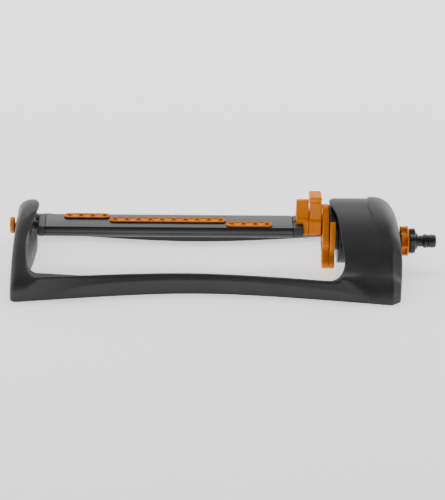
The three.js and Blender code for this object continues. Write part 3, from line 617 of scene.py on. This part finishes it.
def frame_field(x, y, z):
    s = np.abs(y)
    body = with_pivot(hollow_shell(x, s, z), x, y, z)
    body = carve(body, arch_opening(x, s, z), 1.5)
    body = smooth_min(body, beam_rib(x, s, z), 1.5)
    body = carve(body, disc(x, y, z, *INLET_BORE_X, (0, INLET_Z), INLET_BORE), 0.8)
    body = carve(body, disc(x, y, z, *COLLAR_SEAT_X, (0, INLET_Z), COLLAR_SEAT), 1.0)
    return smooth_max(body, -z, 1.2)


def add_frame():
    low = (FRAME_LEFT, -hood_high[1], 0.0)
    moulded("frame_shell", frame_field, low, hood_high, 1.25,
            "frame_plastic", "base", "base_frame", "gear_hood")


# ---------------------------------------------------------------- spray tube and end caps

tube_low, tube_high = node_box("spray_tube")
left_cap_low, left_cap_high = node_box("left_end_cap")
right_cap_low, right_cap_high = node_box("right_end_cap")
TUBE_TOP = tube_high[2]
TUBE_BOTTOM = tube_low[2]
TUBE_HALF = tube_high[1]
TUBE_WALL = 1.6
TUBE_FLAT = TUBE_HALF - 1.6
TUBE_BELLY = [[0, 15.2], [0.06, 17.2], [0.25, 19.4], [0.5, 20.2], [0.78, 19.6]]
TUBE_CRISP = 0.97
CAP_LEFT = -221.5
PIN_RADIUS, PIN_BORE = 5.0, 3.0
JOURNAL_BORE = 6.3
SPIGOT_GAP = 0.3
GROOVE_WIDTH, GROOVE_DEPTH = 1.1, 0.7


def tube_side(inset):
    """Right half of the tube outline, from under it up to its crisp top edge."""
    height = TUBE_TOP - TUBE_BOTTOM
    at = spline(TUBE_BELLY + [[TUBE_CRISP, TUBE_FLAT]])
    points = [(0.0, TUBE_BOTTOM + inset)]
    for t in np.linspace(0, TUBE_CRISP, 16):
        points.append((float(at(t)) - inset, TUBE_BOTTOM + inset + t * (height - 2 * inset)))
    points.append((TUBE_FLAT - 0.25 - inset, TUBE_TOP - inset - 0.08))
    points.append((TUBE_FLAT - 0.9 - inset, TUBE_TOP - inset))
    return points


def tube_outline(inset):
    side = tube_side(inset)
    return side + [(-y, z) for y, z in side[::-1] if y > 0]


def lofted(name, rings, slot, body, *nodes):
    """A closed piece through rings of points, joined in order and back to the first."""
    count = len(rings[0][1])
    points = [(x, y, z) for x, ring in rings for y, z in ring]
    faces = []
    for r in range(len(rings)):
        here, there = r * count, ((r + 1) % len(rings)) * count
        for k in range(count):
            m = (k + 1) % count
            faces.append((here + k, there + k, there + m, here + m))
    obj = add_mesh(name, points, faces, slot)
    crease_by_angle(obj)
    place_piece(obj, body, slot, *nodes)
    return obj


def crease_by_angle(obj, degrees=35):
    with bpy.context.temp_override(object=obj, selected_objects=[obj], selected_editable_objects=[obj]):
        bpy.ops.object.shade_smooth_by_angle(angle=math.radians(degrees))


def add_tube():
    x0, x1 = tube_low[0], tube_high[0]
    outer, inner = tube_outline(0.0), tube_outline(TUBE_WALL)
    worn = tube_outline(0.2)
    rings = [(x0 + 0.2, outer), (x1 - 0.2, outer), (x1, worn), (x1, inner), (x0, inner), (x0, worn)]
    lofted("tube_extrusion", rings, "tube_metal", "tube", "spray_tube")


def tube_section(y, z, inset):
    """Distance to the tube outline, as a flat-topped oval."""
    t = np.clip((z - TUBE_BOTTOM) / (TUBE_TOP - TUBE_BOTTOM), 0.0, 1.0)
    at = spline(TUBE_BELLY + [[1.0, TUBE_FLAT]])
    side = np.abs(y) - at(t) + inset
    return smooth_max(side, between(z, TUBE_BOTTOM + inset, TUBE_TOP - inset), 0.8)


def cap_groove(x, y, z, x0, x1):
    """The shallow joint line round a cap, where it meets the tube."""
    return np.maximum(between(x, x0, x1), -tube_section(y, z, GROOVE_DEPTH))


def spigot(x, y, z, x0, x1):
    """The part of a cap that reaches into the tube."""
    return smooth_max(tube_section(y, z, TUBE_WALL + SPIGOT_GAP), between(x, x0, x1), 1.0)


def left_cap_field(x, y, z):
    end = tube_low[0]
    cap = smooth_max(tube_section(y, z, 0.0), between(x, CAP_LEFT, end - 0.3), 1.2)
    cap = carve(cap, cap_groove(x, y, z, end - GROOVE_WIDTH, end), 0.3)
    pin = disc(x, y, z, left_cap_low[0], CAP_LEFT + 2, (0, TUBE_Z), PIN_RADIUS, 0.6)
    body = np.minimum(np.minimum(cap, spigot(x, y, z, CAP_LEFT + 2, end + 10)), pin)
    return carve(body, disc(x, y, z, -260.0, -195.0, (0, TUBE_Z), PIN_BORE), 0.3)


def right_cap_field(x, y, z):
    end = tube_high[0]
    cap = smooth_max(tube_section(y, z, 0.0), between(x, end + 0.3, right_cap_high[0]), 1.2)
    cap = carve(cap, cap_groove(x, y, z, end, end + GROOVE_WIDTH), 0.3)
    body = np.minimum(cap, spigot(x, y, z, right_cap_low[0], right_cap_high[0] - 4))
    return carve(body, disc(x, y, z, 60.0, 100.0, (0, TUBE_Z), JOURNAL_BORE), 0.3)


def add_caps():
    moulded("left_cap_body", left_cap_field, left_cap_low, left_cap_high, 0.6,
            "cap_plastic", "tube", "left_end_cap")
    moulded("right_cap_body", right_cap_field, right_cap_low, right_cap_high, 0.6,
            "cap_plastic", "tube", "right_end_cap")


# ---------------------------------------------------------------- nozzle strips

NOZZLE_PITCH = 14.0
STRIP_END = 6.8
STRIP_HEIGHT = 1.9
TRAY_RIM, TRAY_DEPTH, TRAY_RING = 1.5, 1.1, 4.0
WELL_RADIUS = 2.9
CORE_RADIUS, CORE_TAPER, CORE_HOLE = 2.6, 0.35, 0.9


def add_strip(node):
    low, high = node_box(node)
    base_top = low[2] + STRIP_HEIGHT
    centre = (low[1] + high[1]) / 2
    half = (high[1] - low[1]) / 2
    first = low[0] + STRIP_END
    count = round((high[0] - low[0] - 2 * STRIP_END) / NOZZLE_PITCH) + 1

    def from_nozzle(x, y):
        nearest = first + np.clip(np.round((x - first) / NOZZLE_PITCH), 0, count - 1) * NOZZLE_PITCH
        return np.hypot(x - nearest, y - centre)

    def strip_field(x, y, z):
        along = np.abs(x - (low[0] + high[0]) / 2) - (high[0] - low[0]) / 2 + half
        plan = np.hypot(np.maximum(along, 0.0), y - centre) - half
        strip = smooth_max(plan, between(z, low[2], base_top), 1.2)
        radial = from_nozzle(x, y)
        tray = np.maximum(np.maximum(plan + TRAY_RIM, TRAY_RING - radial), base_top - TRAY_DEPTH - z)
        strip = carve(strip, tray, 0.5)
        return carve(strip, np.maximum(radial - WELL_RADIUS, low[2] + 0.5 - z), 0.3)

    def core_field(x, y, z):
        radial = from_nozzle(x, y)
        slope = CORE_TAPER * (z - low[2] - 0.8)
        core = smooth_max(radial - CORE_RADIUS + slope, between(z, low[2] + 0.7, high[2] + 0.3), 0.8)
        return carve(core, np.maximum(radial - CORE_HOLE, low[2] + 1.4 - z), 0.3)

    moulded(node + "_moulding", strip_field, low, high, 0.4, "soft_orange", "tube", node)
    moulded(node + "_cores", core_field, low, high, 0.4, "soft_orange", "tube", material="nozzle_orange")


# ---------------------------------------------------------------- orange controls

block_low, block_high = node_box("valve_block")
knob_low, knob_high = node_box("width_knob")
FLANGE_LEFT, FLANGE_RIGHT = 94.3, 116.6
JOURNAL_ROOM = 12.2
SADDLE_TOP = 68.0
SADDLE_MOUTH = 10.5
BLOCK_SHOULDER = 69.5
BLOCK_HALF, BLOCK_TOP_HALF = 8.0, 2.8
LIP_HALF, BLOCK_LIP = 10.0, 7.6
WING_HALF = 11.5
WING_CAP = 5.2
SCALLOP_X, SCALLOP_Z, SCALLOP = 28.0, 78.0, 29.2


def outlined(x, y, z, low, high, corner, edge):
    """A block along X: rounded by corner in (Y, Z), with its end rims rounded by edge."""
    outline = rounded_box(0.0, y, z, (-99.0, low[1], low[2]), (99.0, high[1], high[2]), corner)
    return smooth_max(outline, between(x, low[0], high[0]), edge)


def saddle(x, y, z, x0, x1, low, high):
    """The foot that grips the journal from above, open below."""
    outline = outlined(x, y, z, (x0, low[1], low[2]), (x1, high[1], SADDLE_TOP), 2.6, 1.0)
    bore = np.hypot(y, z - TUBE_Z) - JOURNAL_ROOM
    mouth = np.maximum(np.abs(y) - SADDLE_MOUTH, z - TUBE_Z + 3)
    return carve(outline, np.minimum(bore, mouth), 0.6)


def block_field(x, y, z):
    foot = TUBE_TOP + 0.6
    half = np.interp(z, [BLOCK_SHOULDER, block_high[2]], [BLOCK_HALF, BLOCK_TOP_HALF])
    tower = smooth_max(np.abs(y) - half, between(z, foot, block_high[2]), 1.4)
    tower = smooth_max(tower, between(x, block_low[0], block_high[0]), 0.8)
    lip_low = (block_low[0], -LIP_HALF, foot)
    lip_high = (block_high[0], LIP_HALF, foot + BLOCK_LIP)
    tower = smooth_min(tower, outlined(x, y, z, lip_low, lip_high, 1.2, 0.8), 0.8)
    body = smooth_min(tower, saddle(x, y, z, FLANGE_LEFT, block_high[0], block_low, block_high), 0.8)
    body = np.maximum(body, between(x, block_low[0], block_high[0]))
    return carve(body, np.hypot(y, z - TUBE_Z) - JOURNAL_ROOM, 0.5)


def knob_field(x, y, z):
    x0, x1, top = knob_low[0], knob_high[0], knob_high[2]
    wing = outlined(x, y, z, (x0, -WING_HALF, TUBE_Z + 8), (x1, WING_HALF, top), 4.0, 1.4)
    cap = rounded_box(x, y, z, (x0, -WING_HALF, top - WING_CAP), (x1, WING_HALF, top), 2.0)
    neck = between(z, top - 6.6, top - 5.4)
    wing = carve(wing, np.maximum(neck, -wing - 0.8), 0.5)
    body = smooth_min(smooth_min(wing, cap, 0.5), saddle(x, y, z, x0, x1, knob_low, knob_high), 1.2)
    body = np.maximum(body, between(x, x0, x1))
    scallop = np.hypot(x - x0 + SCALLOP_X, z - SCALLOP_Z) - SCALLOP
    return carve(carve(body, np.hypot(y, z - TUBE_Z) - JOURNAL_ROOM, 0.5), scallop, 1.2)


def add_selector():
    moulded("valve_block_body", block_field, block_low, block_high, 0.5,
            "orange_plastic", "tube", "valve_block")
    moulded("width_knob_body", knob_field, knob_low, knob_high, 0.5,
            "orange_plastic", "knob", "width_knob")


LEVER_TILT = math.radians(-30)
NECK_ROOM = 13.9
HUB_ROOM = 27.4
LEVER_REACH = 50.0
LEVER_TIP = 9.0
LEVER_RIM, LEVER_WEB = 2.4, 1.3
LEVER_BOSS = 3.0
GRIP_AT, GRIP_APART, GRIP_HALF = 41.0, 4.0, 0.8


def lever_frame(y, z):
    """Coordinates across and along a lever, from the swing axis towards its tip."""
    rise = z - TUBE_Z
    across = math.cos(LEVER_TILT) * y + math.sin(LEVER_TILT) * rise
    along = math.sin(LEVER_TILT) * y - math.cos(LEVER_TILT) * rise
    return across, along


def lever_field(x0, x1, ring, waist, room, hooked):
    """A lever between x0 and x1: an eye round the axis and an arm with a sunk web and two grips."""
    thick = (x1 - x0) / 2

    def field(x, y, z):
        across, along = lever_frame(y, z)
        from_middle = np.abs(x - (x0 + x1) / 2)
        middle = np.clip(along, 0.0, LEVER_REACH - LEVER_TIP)
        arm = np.hypot(across, along - middle) - LEVER_TIP
        eye = smooth_max(np.hypot(across, along) - ring, np.abs(across) - waist, 6.0)
        plan = smooth_min(arm, eye, 5.0)
        body = smooth_max(plan, from_middle - thick, 1.0)
        pocket = np.maximum(plan + LEVER_RIM, thick - LEVER_WEB - from_middle)
        boss = np.hypot(across, along) - room - LEVER_BOSS
        body = carve(body, np.maximum(pocket, -boss), 0.8)
        grips = np.abs(np.abs(along - GRIP_AT) - GRIP_APART) - GRIP_HALF
        ridge = smooth_max(np.maximum(plan + 0.8, grips), from_middle - thick + 0.2, 0.6)
        body = smooth_min(body, ridge, 0.6)
        body = carve(body, np.hypot(across, along) - room, 0.6)
        if hooked:
            body = smooth_max(body, -along - 3.0, 1.0)
        return body

    return field


def add_levers():
    for node, ring, waist, room, hooked, body in (
        ("front_range_lever", 28.0, 18.5, NECK_ROOM, False, "front_lever"),
        ("rear_range_lever", 33.0, 33.0, HUB_ROOM, True, "rear_lever"),
    ):
        low, high = node_box(node)
        field = lever_field(low[0], high[0], ring, waist, room, hooked)
        moulded(node + "_moulding", field, low, high, 0.6, "orange_plastic", body, node)


# ---------------------------------------------------------------- hose inlet

collar_low, collar_high = node_box("flow_collar")
COLLAR_RADIUS = 18.5
COLLAR_BORE = 10.4
GRIP_POCKETS, POCKET_RADIUS = 8, 5.2
FLANGE_X = (222.8, 230.0)
FLANGE_BOX = 16.3
FLANGE_RADIUS, FLANGE_LOBE, FLANGE_BORE = 15.3, 1.0, 12.0
SEAL_X, SEAL_WIDE, SEAL_RADIUS, SEAL_HIGH = 246.0, 0.75, 7.65, 0.7
SEAL_SIDES = 16


def collar_field(x, y, z):
    rise = z - INLET_Z
    radial = np.hypot(y, rise)
    angle = np.arctan2(rise, y)
    sector = 2 * math.pi / GRIP_POCKETS
    turn = np.abs(((angle / sector) % 1.0) - 0.5) * sector
    across = radial * np.sin(turn)
    out = radial * np.cos(turn)
    body = disc(x, y, z, collar_low[0], collar_high[0], (0, INLET_Z), COLLAR_RADIUS, 0.9)
    pocket = np.hypot(across, out - COLLAR_RADIUS - 0.6) - POCKET_RADIUS
    pocket = np.maximum(pocket, x - collar_high[0] + 2.4)
    body = carve(body, pocket, 1.0)
    return carve(body, radial - COLLAR_BORE, 0.6)


def nipple_profile():
    """The nipple from its root in the hood to its mouth: shoulder, waist, ridge and seal groove."""
    x0, x1 = 217.4, node_box("inlet_nipple")[1][0]
    return [
        (x0, 4.5), (x0, 6.7), (222.7, 6.7), (222.7, 12.5), (223.2, 13.2), (229.4, 13.2), (230.4, 12.4),
        (230.8, 10.6), (232.4, 10.0), (233.0, 9.0), (233.6, 7.4), (235.0, 6.9), (239.4, 6.9), (240.2, 7.4),
        (240.8, 8.3), (241.6, 8.5), (243.6, 8.5), (244.2, 8.1), (244.4, 7.0), (247.6, 7.0), (247.8, 7.8),
        (248.6, 8.05), (253.6, 8.0), (254.8, 7.5), (x1, 6.6), (x1, 5.0), (x1 - 0.6, 4.5),
    ]


def flange_field(x, y, z):
    rise = z - INLET_Z
    radial = np.hypot(y, rise)
    angle = np.arctan2(rise, y)
    lobes = FLANGE_RADIUS + FLANGE_LOBE * np.cos(6 * angle + math.pi)
    body = smooth_max(radial - lobes, between(x, *FLANGE_X), 1.8)
    return carve(body, radial - FLANGE_BORE, 0.4)


def add_inlet():
    moulded("flow_collar_moulding", collar_field, collar_low, collar_high, 0.5,
            "orange_plastic", "collar", "flow_collar")
    nipple = turned("nipple_body", nipple_profile(), (0, INLET_Z), "black_plastic", "base", "inlet_nipple")
    crease_by_angle(nipple, 50)
    low = (FLANGE_X[0], -FLANGE_BOX, INLET_Z - FLANGE_BOX)
    high = (FLANGE_X[1], FLANGE_BOX, INLET_Z + FLANGE_BOX)
    moulded("nipple_flange", flange_field, low, high, 0.5, "black_plastic", "base")
    seal = []
    for i in range(SEAL_SIDES):
        angle = -2 * math.pi * i / SEAL_SIDES
        seal.append((SEAL_X + SEAL_WIDE * math.cos(angle), SEAL_RADIUS + SEAL_HIGH * math.sin(angle)))
    turned("seal_ring", seal[::-1], (0, INLET_Z), "seal_rubber", "base", "nipple_o_ring")


# ---------------------------------------------------------------- plug, journal and motor

plug_low, plug_high = node_box("cleanout_plug")
PLUG_HEAD, PLUG_HEAD_LONG = 10.0, 5.6
PLUG_STEM = 2.7
PLUG_SLOT_HALF, PLUG_SLOT_DEEP = 0.9, 2.2


def plug_field(x, y, z):
    head = disc(x, y, z, plug_low[0], plug_low[0] + PLUG_HEAD_LONG, (0, TUBE_Z), PLUG_HEAD, 1.8)
    stem = disc(x, y, z, plug_low[0] + 4, plug_high[0], (0, TUBE_Z), PLUG_STEM, 0.4)
    slot = np.maximum(np.abs(z - TUBE_Z) - PLUG_SLOT_HALF, x - plug_low[0] - PLUG_SLOT_DEEP)
    return carve(np.minimum(head, stem), slot, 0.5)


def add_plug():
    moulded("plug_head", plug_field, plug_low, plug_high, 0.4, "orange_plastic", "tube", "cleanout_plug")


case_low, case_high = node_box("motor_case")
CASE_AXIS = (0.0, 46.0)
DRUM_LEFT, DRUM_RADIUS, DRUM_INSIDE = 136.0, 36.0, 33.5
HUB_LEFT, HUB_RADIUS, HUB_RIGHT = 125.3, 27.0, 138.0
NECK_RADIUS, NECK_BORE = 13.5, 11.8
EAR_LEFT, EAR_RADIUS, EAR_PITCH = 170.0, 4.0, 38.6
EARS = [(EAR_PITCH * math.cos(a), CASE_AXIS[1] + EAR_PITCH * math.sin(a))
        for a in np.radians([0, -60, -120, 180])]
SCREW_HOLE = 1.7


def case_field(x, y, z):
    """Drum of the water motor, with the round hub and the neck that carry the levers."""
    axis = (0, TUBE_Z)
    drum = disc(x, y, z, DRUM_LEFT, case_high[0], CASE_AXIS, DRUM_RADIUS, 1.2)
    hub = disc(x, y, z, HUB_LEFT, HUB_RIGHT, axis, HUB_RADIUS, 1.0)
    neck = disc(x, y, z, case_low[0], HUB_RIGHT, axis, NECK_RADIUS, 0.6)
    body = smooth_min(np.minimum(drum, neck), hub, 1.5)
    for ear in EARS:
        body = smooth_min(body, disc(x, y, z, EAR_LEFT, case_high[0], ear, EAR_RADIUS, 0.4), 1.0)
    body = carve(body, disc(x, y, z, 138.5, 190.0, CASE_AXIS, DRUM_INSIDE), 0.6)
    body = carve(body, disc(x, y, z, 100.0, 142.0, axis, NECK_BORE), 0.5)
    for ear in EARS:
        body = carve(body, disc(x, y, z, EAR_LEFT + 1.0, 190.0, ear, SCREW_HOLE), 0.3)
    return body


def add_motor_case():
    moulded("motor_housing", case_field, case_low, case_high, 0.9, "black_plastic", "base", "motor_case")


def add_journal():
    low, high = node_box("tube_journal")
    x0, x1 = low[0], high[0]
    profile = [
        (x0, 3.2), (x0, 6.0), (FLANGE_LEFT, 6.0), (FLANGE_LEFT, 11.4), (FLANGE_LEFT + 0.5, 11.8),
        (FLANGE_RIGHT - 0.5, 11.8), (FLANGE_RIGHT, 11.3), (FLANGE_RIGHT, 9.2), (140.3, 9.2),
        (140.3, 7.0), (148.0, 7.0), (148.0, 4.0), (x1, 4.0), (x1, 0.01), (146.0, 0.01), (146.0, 3.2),
    ]
    journal = turned("journal_body", profile, (0, TUBE_Z), "black_plastic", "tube", "tube_journal")
    crease_by_angle(journal)


add_camera()
add_studio()
dress_cad_nodes()
add_frame()
add_tube()
add_caps()
for strip in ("nozzle_strip_rear", "nozzle_strip_middle", "nozzle_strip_front"):
    add_strip(strip)
add_selector()
add_levers()
add_inlet()
add_plug()
add_journal()
add_motor_case()
